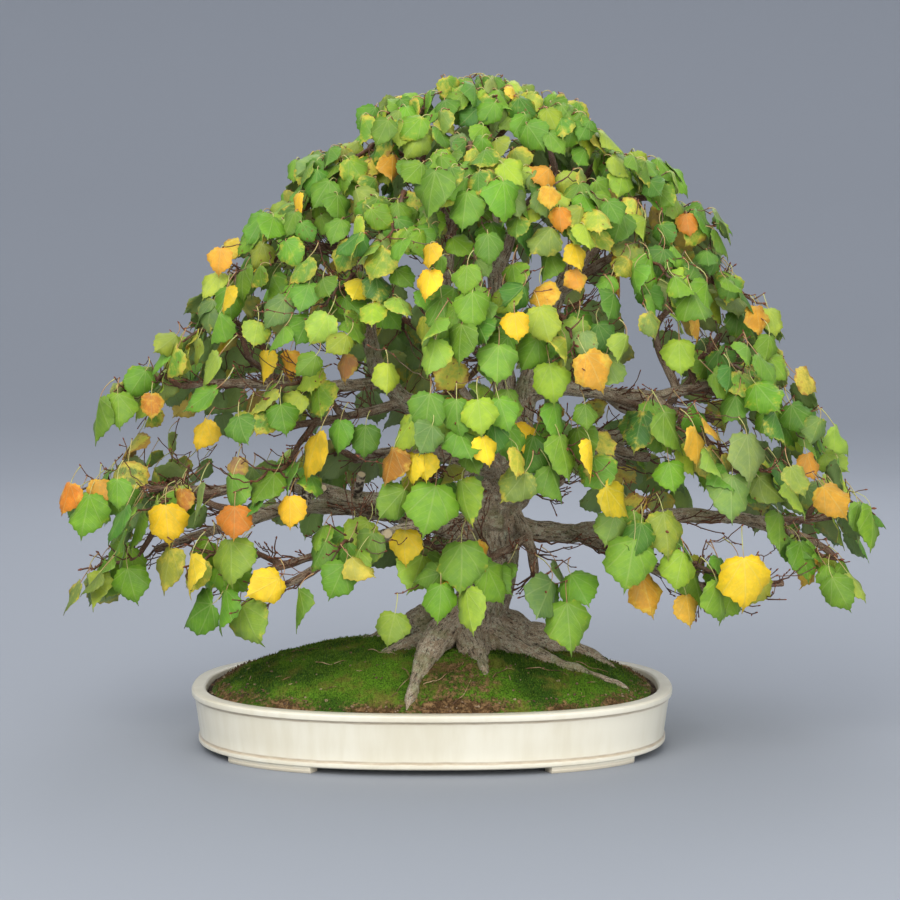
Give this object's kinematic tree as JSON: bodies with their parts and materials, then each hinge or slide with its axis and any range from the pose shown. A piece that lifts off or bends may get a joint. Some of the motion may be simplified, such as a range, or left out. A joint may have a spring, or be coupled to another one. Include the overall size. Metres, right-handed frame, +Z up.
{
  "type": "linden bonsai in an oval pot",
  "caption": "Broad, leafy linden bonsai with flared roots on a mossy mound, planted in a shallow oval glazed pot on low feet.",
  "frame": {"origin": "middle of the underside of the whole object's box, on the surface that the pot stands on", "axes": "+X right and +Y to the back as seen from the front of the tree, +Z up"},
  "size_m": [0.8704, 0.5938, 0.7],
  "materials": {
    "glaze": "satin cream glaze with faint speckle",
    "screen": "matt plastic mesh",
    "soil": "rough gritty planting mix",
    "moss": "soft short cushion moss",
    "bark": "grey-brown fissured bark with pale lichen",
    "leaf": "soft satin leaf, green to yellow"
  },
  "bodies": {
    "root": {"pot": "glaze", "drain_screen_left": "screen", "drain_screen_right": "screen", "soil": "soil", "moss": "moss", "wood": "bark", "spray_top_middle": "leaf", "spray_top_left": "leaf", "spray_top_right": "leaf", "spray_shoulder_left": "leaf", "spray_shoulder_right": "leaf", "spray_top_front": "leaf", "spray_upper_left": "leaf", "spray_upper_front_left": "leaf", "spray_upper_front_right": "leaf", "spray_upper_right": "leaf", "spray_side_left_high": "leaf", "spray_front_left_high": "leaf", "spray_front_right_high": "leaf", "spray_side_right_high": "leaf", "spray_front_middle_high": "leaf", "spray_front_right_middle": "leaf", "spray_side_left_middle": "leaf", "spray_side_left_tip": "leaf", "spray_front_left_middle": "leaf", "spray_side_right_middle": "leaf", "spray_side_right_tip": "leaf", "spray_front_middle": "leaf", "spray_front_right_inner": "leaf", "spray_front_right_outer": "leaf", "spray_right_front_middle": "leaf", "spray_low_right_tip": "leaf", "spray_low_right_front": "leaf", "spray_low_front_right": "leaf", "spray_low_front_right_outer": "leaf", "spray_low_left_tip": "leaf", "spray_low_left_middle": "leaf", "spray_low_left_under": "leaf", "spray_low_left_front": "leaf", "spray_left_front_middle": "leaf", "spray_low_front_left": "leaf", "spray_low_front_middle": "leaf", "spray_low_front_drooping": "leaf", "spray_front_lower_left": "leaf", "spray_top_back_left": "leaf", "spray_top_back_right": "leaf", "spray_back_left_high": "leaf", "spray_back_middle_high": "leaf", "spray_back_right_high": "leaf", "spray_back_left_middle": "leaf", "spray_back_left_inner": "leaf", "spray_back_right_inner": "leaf", "spray_back_right_middle": "leaf", "spray_back_left_low": "leaf", "spray_back_left_lower": "leaf", "spray_back_middle_low": "leaf", "spray_back_right_lower": "leaf", "spray_back_right_low": "leaf", "spray_back_low": "leaf"}
  },
  "joints": []
}
